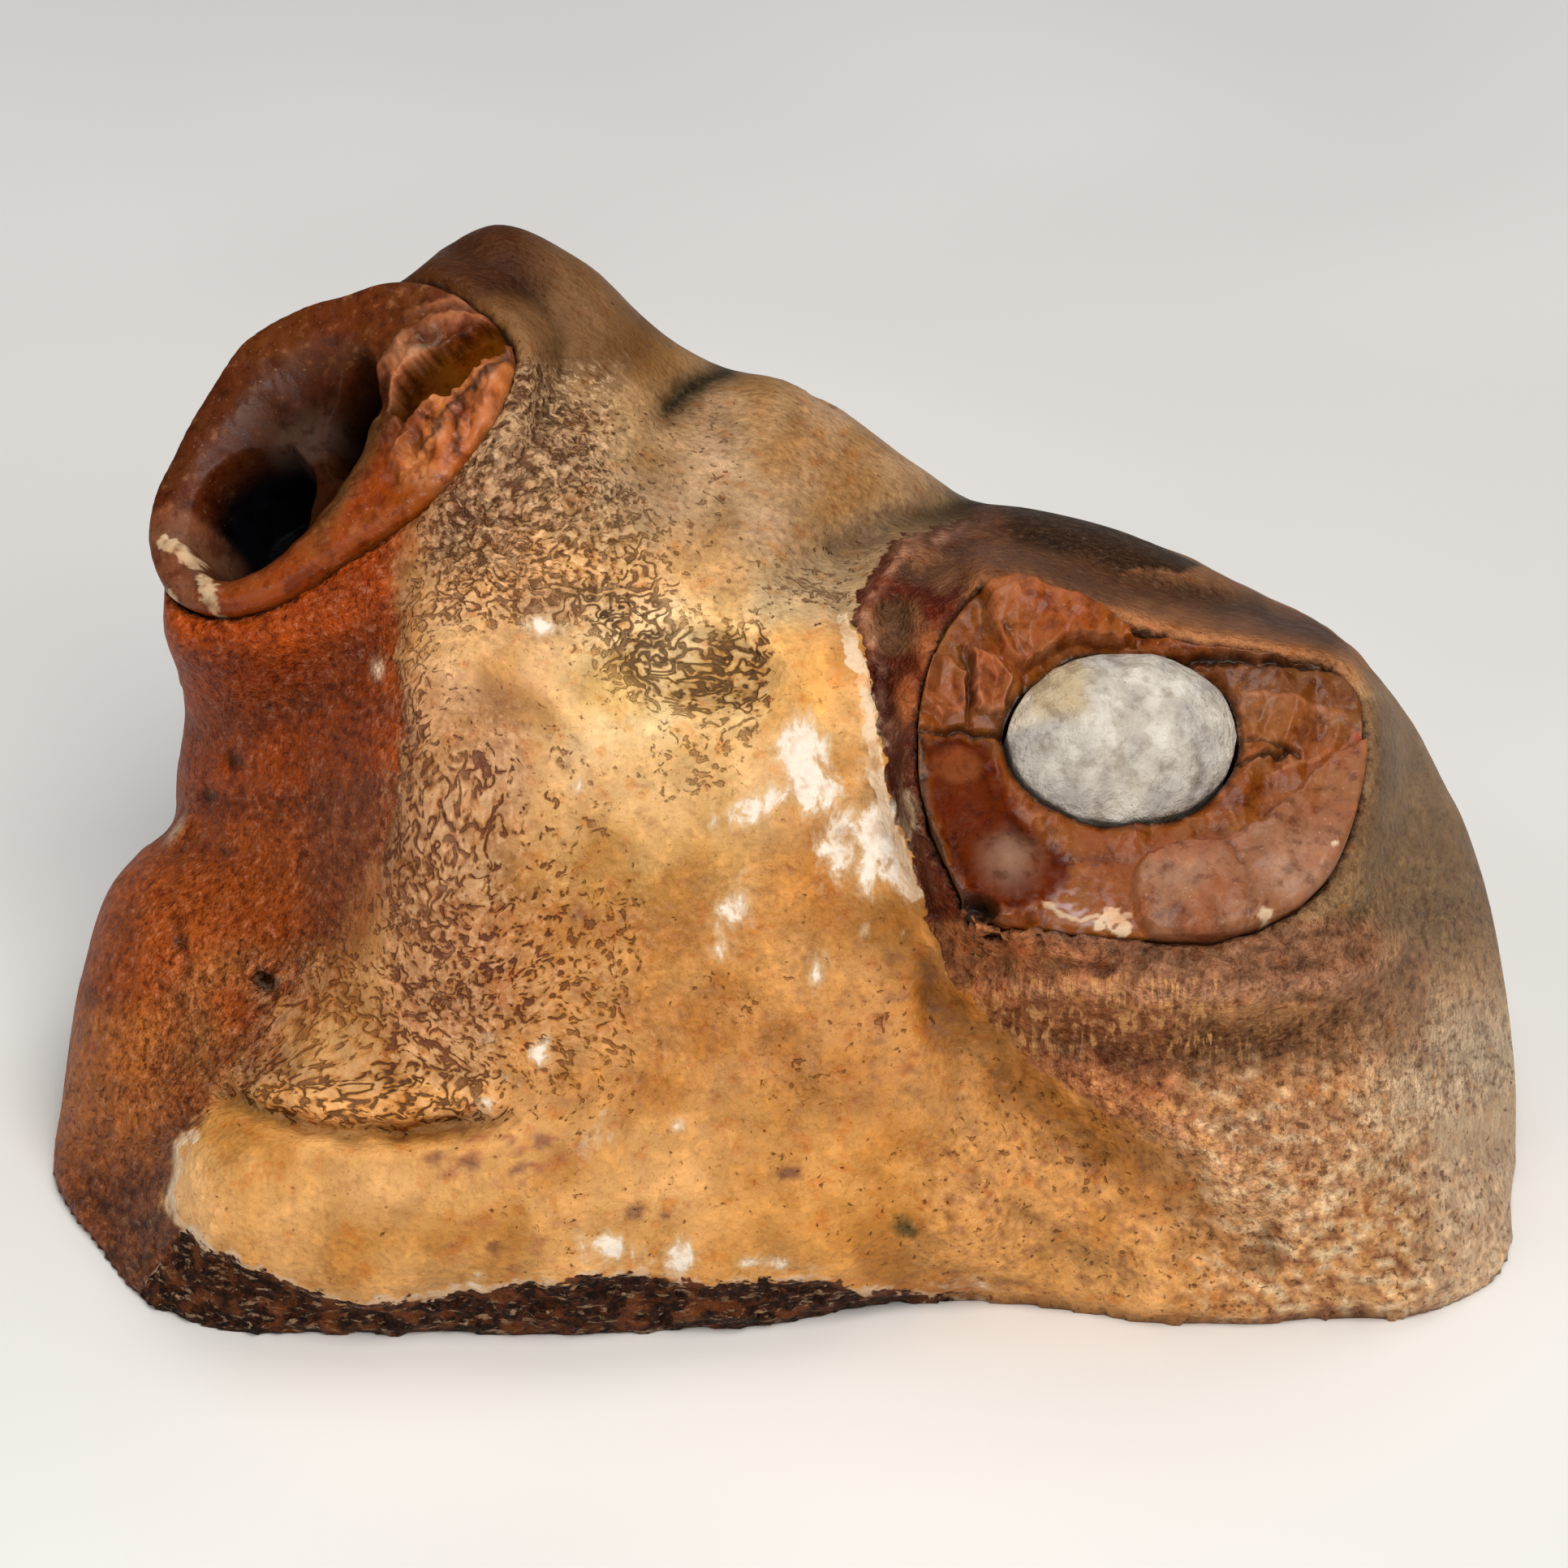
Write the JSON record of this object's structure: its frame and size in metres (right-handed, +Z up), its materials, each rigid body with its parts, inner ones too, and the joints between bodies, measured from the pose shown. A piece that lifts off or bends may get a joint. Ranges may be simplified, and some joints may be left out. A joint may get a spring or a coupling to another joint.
{
  "type": "fossil mosasaur jaw section",
  "caption": "Chunk of fossil reptile jaw bone standing on a flat broken base, with two broken tooth roots set in their sockets.",
  "frame": {"origin": "on the flat base, under the middle of the jaw section", "axes": "+X along the jaw, from the left tooth root to the right one; +Y away from the worked face; +Z up, away from the base"},
  "size_m": [0.0783, 0.0481, 0.0431],
  "materials": {
    "bone": "weathered ochre and brown fossil bone, fine pores, slight wax sheen",
    "dentine": "orange brown fossil dentine, semi-gloss",
    "filling": "grey mottled stone, matt"
  },
  "bodies": {
    "root": {"jaw_bone": "bone", "left_tooth_stump": "dentine", "right_tooth_stump": "dentine", "right_tooth_core": "filling"}
  },
  "joints": []
}
